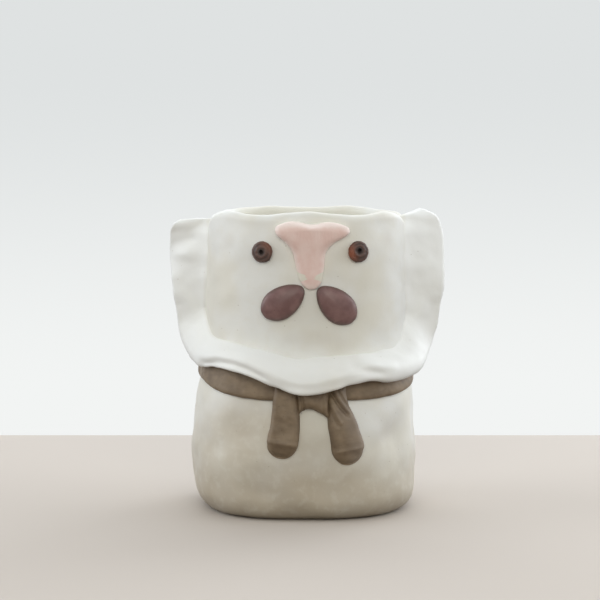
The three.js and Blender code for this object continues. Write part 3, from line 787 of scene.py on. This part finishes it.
def turned(outline):
    """Rings of a round piece of the pot, from a closed outline of (radius, height) pressed into shape."""
    outline = np.array(outline, float)
    angles = np.linspace(0, 2 * math.pi, ROUND_STEPS, endpoint=False)[:, None]
    radius, height = outline[None, :, 0], outline[None, :, 1]
    share = smoothstep(radius, 2 * DRAIN_RADIUS, FOOT_RADIUS - 2 * WALL)
    points = around_pot(angles, height, radius + share * pressing(angles, height))
    points[..., 2] += rim_wave(angles, height)
    return points


def inside_radius(height):
    """How far the pieces inside the pot reach out, sunk a little into the wall."""
    return outside_radius(height) - WALL + SINK


def make_wall():
    lip = WALL / 2
    top = RIM_HEIGHT - lip
    foot = np.linspace(0, FOOT_ROUND, FOOT_STEPS)
    outside = np.concatenate([foot, np.linspace(FOOT_ROUND, top, OUTSIDE_STEPS)[1:]])
    inside = np.concatenate([np.linspace(top, FLOOR, INSIDE_STEPS), [FLOOR / 2]])
    rounding = np.radians(np.linspace(0, 180, ARC_STEPS)[1:-1])
    outline = [
        *zip(outside_radius(outside), outside),
        *zip(outside_radius(top) - lip + lip * np.cos(rounding), top + lip * np.sin(rounding)),
        *zip(outside_radius(inside) - WALL, inside),
        (outside_radius(0) - WALL, 0),
    ]
    rings = turned(outline)
    turn = turn_of(rings)
    # Spots of painted light and shade on the wall, read by the white glaze
    thin_and_painted_light = np.zeros_like(turn)
    for middle, up, wide, rise, amount in LIGHT_AND_SHADE_SPOTS:
        thin_and_painted_light += amount * hump(turn - middle, wide) * hump(rings[..., 2] - up * BELLY_HEIGHT, rise)
    piece = add_piece("pot_wall_skin", rings, True, WHITE, {"thin_and_painted_light": thin_and_painted_light})
    knead(piece, "pot_wall")
    finish_piece(piece, "white_glaze", "pot_wall")


def make_floor():
    middle = (DRAIN_RADIUS + FOOT_RADIUS) / 2
    edge = [0, FLOOR / 2, FLOOR]
    flat = np.linspace(middle + FLOOR_RINGS_FROM, DRAIN_RADIUS + DRAIN_EDGE, FLOOR_STEPS)
    outline = [
        (DRAIN_RADIUS, 0),
        (middle, 0),
        *[(inside_radius(height), height) for height in edge],
        *[(radius, FLOOR) for radius in flat],
        (DRAIN_RADIUS + DRAIN_EDGE_MIDDLE, FLOOR - DRAIN_EDGE_MIDDLE),
        (DRAIN_RADIUS, FLOOR - DRAIN_EDGE),
    ]
    piece = add_piece("pot_floor_skin", turned(outline), True, WHITE)
    knead(piece, "pot_floor")
    finish_piece(piece, "white_glaze", "pot_floor")


def make_coil():
    low = FLOOR - SINK
    turn = np.radians(np.linspace(*COIL_TURN, ARC_STEPS))
    inward = COIL_HOLLOW * COIL * np.sin(turn)
    outline = [
        (inside_radius(low) - COIL, low),
        (inside_radius(low), low),
        (inside_radius(COIL_TOP), COIL_TOP),
        *zip(inside_radius(COIL_TOP) - inward, COIL_TOP - inward * np.sin(turn)),
    ]
    piece = add_piece("inside_seam_coil_skin", turned(outline), True, WHITE)
    knead(piece, "inside_seam_coil")
    finish_piece(piece, "white_glaze", "inside_seam_coil")


# Ruff

ruff_at = smooth_rows(
    [
        (
            index,
            math.radians(angle),
            lerp(CHIN_HEIGHT, RIM_HEIGHT, up),
            reach * RUFF["reach"],
            drop * RUFF["drop"],
            swing * RUFF["swing"],
            fillet * RUFF["fillet"],
            swell,
        )
        for index, (angle, up, reach, drop, swing, fillet, swell) in enumerate(RUFF_STATIONS)
    ]
)
RUFF_LAST = len(RUFF_STATIONS) - 1


def ruff_sink(height):
    share = smoothstep(height / RIM_HEIGHT, *RUFF_SINK["deepens"])
    return lerp(RUFF_SINK["wall"], RUFF_SINK["rim"], share)


def ruff_root(place):
    angle, height = ruff_at(place)[:2]
    return around_pot(angle, height, outside_radius(height) + pressing(angle, height) - ruff_sink(height))


def hollow_fillet(distance, radius):
    """How far a round fillet still reaches along the wall at a distance out from it."""
    inside = np.clip(1 - distance / radius, 0, 1)
    return radius * (1 - np.sqrt(1 - inside**2))


def ruff_ring(place):
    """One section of the ruff: it leaves the wall in a hollow and bends down and forward to a round edge."""
    angle, height, reach, drop, swing, fillet, swell = ruff_at(place)
    sink = ruff_sink(height)
    along = unit(ruff_root(min(place + RUFF_PROBE, RUFF_LAST)) - ruff_root(max(place - RUFF_PROBE, 0)))
    outward = np.array([math.sin(angle), -math.cos(angle), 0])
    front = unit(np.cross(outward, along))
    from_end = min(place, RUFF_LAST - place)
    thickened = math.sqrt(min(1, from_end / RUFF_TIP["stations"]))
    half = RUFF["thick"] / 2 * lerp(RUFF_TIP["share"], 1, thickened)
    edge_half = swell * half
    length = reach + sink - SINK - edge_half
    root = ruff_root(place)

    def middle(share):
        share = np.asarray(share, float)[..., None]
        bend = -UP * drop * share**RUFF_DROOP + front * swing * share**2
        return root + outward * length * share + bend

    def run(share):
        return unit(middle(share + RUFF_PROBE) - middle(share))

    def facing(share):
        return unit(np.cross(run(share), along))

    def face(shares, radius, way):
        thick = lerp(half, edge_half, shares) + hollow_fillet(length * shares, radius)
        return middle(shares) + facing(shares) * (way * thick)[:, None]

    shares = np.linspace(0, 1, RUFF_FACE_STEPS) ** RUFF_FACE_BUNCHING
    upper = face(shares, fillet, 1)
    lower = face(shares, RUFF["under_fillet"], -1)
    turn = np.radians(np.linspace(90, -90, RUFF_EDGE_STEPS)[1:-1])[:, None]
    spokes = facing(1.0) * np.sin(turn) + run(1.0) * np.cos(turn)
    tilt = np.degrees(np.arctan2(spokes @ UP, spokes @ outward))[:, None]
    fuller = RUFF_BLUNT["share"] * hump(tilt - RUFF_BLUNT["turn"], RUFF_BLUNT["spread"])
    edge = middle(1.0) + spokes * edge_half * (1 + fuller)
    ring = np.concatenate([upper, edge, lower[::-1]])
    from_wall = np.concatenate([length * shares, np.full(len(edge), reach), length * shares[::-1]])
    free = smoothstep(from_wall, 0, RUFF_FREE * reach)
    return at_lift(ring, np.maximum(lerp(from_wall - sink, lift_of(ring), free), -sink))


def from_line(points, line):
    """How far points lie from a line of straight runs."""
    nearest = np.full(len(points), np.inf)
    for start, finish in zip(np.array(line[:-1], float), np.array(line[1:], float)):
        run = finish - start
        share = np.clip((points - start) @ run / (run @ run), 0, 1)
        nearest = np.minimum(nearest, np.linalg.norm(points - start - share[:, None] * run, axis=1))
    return nearest


def make_ruff():
    rings = np.array([ruff_ring(place) for place in np.linspace(0, RUFF_LAST, RUFF_STEPS)])
    lift = lift_of(rings)
    # Painted shade at the chin: less of the ruff's whiter coat there
    chin_shade = CHIN_SHADE["chin_shade"] * hump(rings[..., 0] - CHIN_SHADE["x"], CHIN_SHADE["spread"])
    # The ruff's whiter coat, partly thicker glaze and partly painted light
    coat = (1 - chin_shade) * smoothstep(lift, *COAT_SETS_IN)
    piece = add_piece("ruff_skin", rings, False, WHITE, {"coat": coat})
    points = rings.reshape(-1, 3)
    push = np.zeros(len(points))
    for line, height, half in RUFF_FOLDS:
        push += height * hump(from_line(points[:, [0, 2]], line), half)
    shift(piece, push * smoothstep(lift.ravel(), *FOLDS_SET_IN) * MM)
    knead(piece, "ruff")
    finish_piece(piece, "white_glaze", "ruff")


# Scarf


def band_height(angle):
    climb = np.where(np.cos(angle) > 0, np.sin(angle) ** BAND_RISE_POWER, 1)
    return BAND_FRONT + BAND["rise"] * climb - BAND["tilt"] * np.sin(angle) ** BAND_TILT_POWER


def band_lift(rise):
    """How far the band's face stands out from the wall at a height above the band's middle."""
    share = np.clip(np.abs(rise) / (BAND["tall"] / 2), 0, 1)
    return BAND["thick"] * np.sqrt(1 - share**BAND_SQUARENESS)


def make_band():
    half = BAND["tall"] / 2
    turn = np.linspace(math.pi / 2, -math.pi / 2, BAND_STEPS)
    rise = half * np.sin(turn)
    section_rise = np.concatenate([rise, rise[::-1]])
    section_lift = np.concatenate([band_lift(rise), np.full(len(rise), -SINK)])
    angles = np.linspace(KNOT_ANGLE, KNOT_ANGLE + 2 * math.pi, ROUND_STEPS)[:, None]
    rings = wall_point(angles, band_height(angles) + section_rise, section_lift)
    worn = sum(hump(turn_of(rings) - middle, wide) for middle, wide in WORN_SPOTS)
    piece = add_piece("scarf_band_skin", rings, False, TAUPE, {"worn": worn})
    knead(piece, "scarf_band")
    finish_piece(piece, "taupe_glaze", "scarf_band")


# Pads of clay pressed on the front of the pot


def round_end(distance, radius):
    """Share of its width that a pad keeps at a distance from a round end."""
    inside = max(0, 1 - distance / radius) if radius else 0
    return max(TIP_SHARE, math.sqrt(1 - inside**2))


def pad_rings(rows, edge, place, rounds=(0, 0), crease=None):
    """rows: (along, aside, half width, thickness). place turns along, aside and lift into a point.
    rounds are the lengths over which the two ends are rounded. Gives the rings, and how far each of their
    points lies from the pad's edge."""
    shape = smooth_rows(rows)
    start, finish = rows[0][0], rows[-1][0]
    columns = np.sin(np.linspace(math.pi / 2, -math.pi / 2, PAD_COLUMNS))
    rings, distances = [], []
    for turn in np.linspace(0, math.pi, PAD_ROWS):
        along = lerp(start, finish, (1 - math.cos(turn)) / 2)
        aside, half, thick = shape(along)
        half = half * round_end(along - start, rounds[0]) * round_end(finish - along, rounds[1])
        from_end = max(min(along - start, finish - along), NO_DISTANCE)
        from_side = np.maximum(half * (1 - np.abs(columns)), NO_DISTANCE)
        from_edge = 1 / np.hypot(1 / from_side, 1 / from_end)
        slope = 1 - np.minimum(1, from_edge / edge)
        lift = BRIM + (thick - BRIM) * np.sqrt(1 - slope**2)
        if crease:
            lift = np.maximum(lift - crease(along - start, columns), BRIM)
        x = aside + columns * half
        front = place(along, x, lift)
        back = place(along, x, np.full_like(x, -SINK))
        rings.append(np.concatenate([front, back[::-1]]))
        distances.append(np.concatenate([from_edge, np.zeros_like(from_edge)]))
    return rings, {"from_edge": distances}


def add_pad(name, pad, material):
    rings, marks = pad
    return add_piece(name, rings, False, material, marks)


def make_nose():
    rows = [
        (along * NOSE["length"], aside * NOSE["aside"], half * NOSE["half"], thick * NOSE["thick"])
        for along, aside, half, thick in NOSE_OUTLINE
    ]

    def place(along, aside, lift):
        notch = NOSE_NOTCH["depth"] * hump(aside - rows[0][1], NOSE_NOTCH["width"])
        notch = notch * (1 - smoothstep(along, 0, NOSE_NOTCH["width"]))
        return face_point(aside, NOSE_TOP - along - notch, lift)

    piece = add_pad("nose_skin", pad_rings(rows, NOSE["edge"], place, NOSE_ROUNDS), PINK)
    finish_piece(piece, "pink_glaze", "nose")


def make_muzzle(side):
    tip = MUZZLE_TIPS[side]
    rows = [
        (along * MUZZLE["length"], 0, width * MUZZLE["half"], MUZZLE["thick"])
        for along, width in MUZZLE_OUTLINE
    ]
    cos = math.cos(math.radians(tip["slope"]))
    sin = math.sin(math.radians(tip["slope"]))
    foot = NOSE_FOOT + tip["rise"]

    def place(along, aside, lift):
        return face_point(tip["x"] + along * cos - aside * sin, foot + along * sin + aside * cos, lift)

    rounds = [share * MUZZLE["length"] for share in MUZZLE_ROUNDS]
    piece = add_pad(f"muzzle_pad_{side}_skin", pad_rings(rows, MUZZLE["half"], place, rounds), MAUVE)
    finish_piece(piece, "mauve_glaze", f"muzzle_pad_{side}")


def creased(creases, half):
    """How deep creases cut a pad of a half width, at a place along it and shares of its half width."""

    def depth_at(along, columns):
        points = np.stack([np.full_like(columns, along), columns * half], -1)
        cut = np.zeros(len(points))
        for start, left, finish, right, depth, width in creases:
            away = from_line(points, [(start, left * half), (finish, right * half)])
            cut += depth * hump(away, width)
        return cut

    return depth_at


def make_tail(side, outline, size, outward, creases=()):
    over = BAND["thick"] + TAIL["over_band"]
    rows = [
        (
            along * size["length"],
            KNOT["x"] + outward * (KNOT["half"] + out * size["aside"]),
            width * size["half"],
            lerp(over, TAIL["foot"], max(0, along)),
        )
        for along, out, width in outline
    ]

    def place(below, x, lift):
        return face_point(x, BAND_FRONT - below, lift)

    folds = creased(creases, size["half"])
    facet = rows[-1][0] - rows[0][0] - TAIL["facet"]

    def cut(along, columns):
        past = along - facet + size["slant"] * columns
        ridge = TAIL_RIDGE["height"] * hump(past, TAIL_RIDGE["half"])
        return folds(along, columns) + TAIL["facet_drop"] * np.clip(past / TAIL["facet"], 0, 1) - ridge

    rings, marks = pad_rings(rows, TAIL["edge"], place, (0, size["round"]), cut)
    x = np.array(rings)[..., 0]
    outer = outward * (x - x.mean(axis=1, keepdims=True)) / size["half"]
    # Painted light on the tail's outer side
    marks["painted_side_light"] = TAIL_SIDE_LIGHT[side] * smoothstep(outer, *TAIL_SIDE_LIGHT_ACROSS)
    piece = add_pad(f"scarf_tail_{side}_skin", (rings, marks), TAUPE)
    knead(piece, "scarf_tail")
    finish_piece(piece, "taupe_glaze", f"scarf_tail_{side}")


def make_knot():
    """A strip from tail to tail over the band, arched along its lower edge."""
    top = BAND_FRONT + KNOT["top"]
    reach = KNOT["half"] + KNOT["overlap"]
    rows = []
    for across, share in KNOT_ARCH:
        half = share * KNOT["tall"] / 2
        rows.append((across * reach, top - half, half, BAND["thick"] + KNOT["over_band"]))

    def place(along, height, lift):
        return face_point(KNOT["x"] + along, height, lift)

    cut = creased(KNOT_CREASES, KNOT["tall"] / 2)
    edge = KNOT["edge"] * KNOT["tall"]
    piece = add_pad("scarf_knot_skin", pad_rings(rows, edge, place, crease=cut), TAUPE)
    knead(piece, "scarf_knot")
    finish_piece(piece, "taupe_glaze", "scarf_knot")


def make_eye(side):
    radius, thick, pit, depth = EYE["radius"], EYE["thick"], EYE["pit"], EYE["pit_depth"]
    stations = [
        (EYE_FOOT * radius, -SINK),
        *[(across * radius, up * thick) for across, up in EYE_OUTLINE],
        *[(across * pit, thick - down * depth) for across, down in EYE_PIT_OUTLINE],
    ]
    rows = [(index, *station) for index, station in enumerate(stations)]
    outline = smooth_rows(rows)(np.linspace(0, len(rows) - 1, EYE_ROWS))
    x = EYE_X[side]
    centre = face_point(x, EYE_HEIGHT, 0)
    sideways = unit(face_point(x + radius, EYE_HEIGHT, 0) - face_point(x - radius, EYE_HEIGHT, 0))
    upward = unit(face_point(x, EYE_HEIGHT + radius, 0) - face_point(x, EYE_HEIGHT - radius, 0))
    out = np.cross(sideways, upward)
    turns = np.linspace(0, 2 * math.pi, EYE_STEPS, endpoint=False)[:, None]
    spoke = sideways * np.cos(turns) + upward * np.sin(turns)
    raised = upward * EYE_PIT_UP[side]
    rings = [
        centre + spoke * across + out * lift + raised * (1 - across / radius)
        for across, lift in outline
    ]
    across = np.repeat(outline[:, :1] / radius, EYE_STEPS, axis=1)
    lean = np.clip(np.cos(turns[:, 0] - math.radians(EYE_RUST[side]["turn"])), 0, 1)
    rust = EYE_RUST[side]["share"] * lean**2 * smoothstep(across, *EYE_RUST_ACROSS)
    piece = add_piece(f"eye_{side}_skin", rings, False, BROWN, {"ring": across, "rust": rust})
    knead(piece, "eye")
    finish_piece(piece, "brown_glaze", f"eye_{side}")


make_wall()
make_floor()
make_coil()
make_ruff()
make_band()
make_knot()
make_nose()
make_tail("left", TAIL_LEFT_OUTLINE, TAIL_LEFT, -1)
make_tail("right", TAIL_RIGHT_OUTLINE, TAIL_RIGHT, 1, TAIL_CREASES)
for side in ("left", "right"):
    make_muzzle(side)
    make_eye(side)


# Stage: a pale board, with the plain pale world behind it

BOARD_HALF = 1.2
BOARD_FRONT = -0.9
BOARD_BACK = 0.158
BOARD_THICK = 0.015
SEEN_BOARD = from_srgb(206, 198, 189)
SHADED_BOARD = from_srgb(108, 95, 82)


def seen_rays(tree):
    """One for rays that show a surface, straight, reflected or through glass, and nought for other light."""
    path = tree.nodes.new("ShaderNodeLightPath")
    total = path.outputs["Is Camera Ray"]
    for name in ("Is Glossy Ray", "Is Transmission Ray"):
        total = reckon(tree, "MAXIMUM", total, path.outputs[name])
    return total


def board_paint():
    """A plain pale board that throws little light back on the pot."""
    material, tree, shader = glaze("pale_board")
    shader.inputs["Roughness"].default_value = 0.8
    shader.inputs["Specular IOR Level"].default_value = 0.2
    feed(tree, shader.inputs["Base Color"], mixed(tree, seen_rays(tree), SHADED_BOARD, SEEN_BOARD))
    return material


def make_board():
    ends = (-BOARD_HALF, BOARD_HALF)
    sides = (BOARD_FRONT, BOARD_BACK)
    corners = [(x, y, z) for x in ends for y in sides for z in (-BOARD_THICK, 0)]
    faces = [(0, 1, 3, 2), (4, 6, 7, 5), (0, 4, 5, 1), (2, 3, 7, 6), (0, 2, 6, 4), (1, 5, 7, 3)]
    slab = add_mesh("board", corners, faces, board_paint())


make_board()


# Light

LAMP_AIM = Vector((0, 0, 0.05))
COOL = (0.96, 1, 1.05)
WARM = (1.06, 1.02, 0.88)
# Lamps: place, size, power and colour
LAMPS = {
    "front_box": ((0, -1.2, 0.55), (0.9, 0.6), 4, WARM),
    "left_box": ((-1.1, 0, 0.45), (0.8, 0.8), 5.1, COOL),
    "right_box": ((1.1, 0, 0.45), (0.8, 0.8), 4.1, COOL),
    "back_box": ((0.8, 0.8, 0.5), (0.7, 0.7), 5, COOL),
    "sky_box": ((0, 0.75, 0.9), (1.2, 0.7), 4.8, COOL),
}
WORLD_POWER = 0.5
WORLD_LIGHT = (0.97, 0.98, 1)
# The background's two colours, and how far up or down a ray points where the low one turns into the high one
SKY_LOW = from_srgb(242, 244, 243)
SKY_HIGH = from_srgb(223, 226, 226)
HORIZON = (-0.13, 0.03)


def add_lamp(name, place, size, power, colour):
    lamp = bpy.data.lights.new(name, "AREA")
    lamp.shape = "RECTANGLE"
    lamp.size, lamp.size_y = size
    lamp.energy = power
    lamp.color = colour
    holder = add_object(name, lamp)
    holder.location = place
    holder.rotation_euler = (LAMP_AIM - Vector(place)).to_track_quat("-Z", "Y").to_euler()


for name, lamp in LAMPS.items():
    add_lamp(name, *lamp)


def make_world():
    """Plain pale background for rays that show it, paler low down, and an even light for the others."""
    world = bpy.data.worlds.new("studio")
    bpy.context.scene.world = world
    world.use_nodes = True
    tree = world.node_tree
    light = tree.nodes["Background"]
    light.inputs["Color"].default_value = (*WORLD_LIGHT, 1)
    light.inputs["Strength"].default_value = WORLD_POWER
    way = tree.nodes.new("ShaderNodeSeparateXYZ")
    feed(tree, way.inputs["Vector"], tree.nodes.new("ShaderNodeTexCoord").outputs["Generated"])
    pale = tree.nodes.new("ShaderNodeBackground")
    rise = between(tree, way.outputs["Z"], *HORIZON)
    feed(tree, pale.inputs["Color"], mixed(tree, rise, SKY_LOW, SKY_HIGH))
    mix = tree.nodes.new("ShaderNodeMixShader")
    feed(tree, mix.inputs["Fac"], seen_rays(tree))
    feed(tree, mix.inputs[1], light.outputs["Background"])
    feed(tree, mix.inputs[2], pale.outputs["Background"])
    feed(tree, tree.nodes["World Output"].inputs["Surface"], mix.outputs["Shader"])


make_world()


# Camera, fitted to the photograph's rim and foot

CAMERA_PLACE = np.array([-2.2, -700.0, 128.18])
CAMERA_PITCH = 4.798
FOCAL_PIXELS = 2071.2
PHOTO_WIDTH = 600
SENSOR = 36

camera = bpy.data.cameras.new("camera")
camera.sensor_width = SENSOR
camera.lens = FOCAL_PIXELS / PHOTO_WIDTH * SENSOR
holder = add_object("camera", camera)
holder.location = (CAMERA_PLACE + AXIS) * MM
holder.rotation_euler = (math.radians(90 - CAMERA_PITCH), 0, 0)
bpy.context.scene.camera = holder
bpy.context.scene.view_settings.view_transform = "Standard"
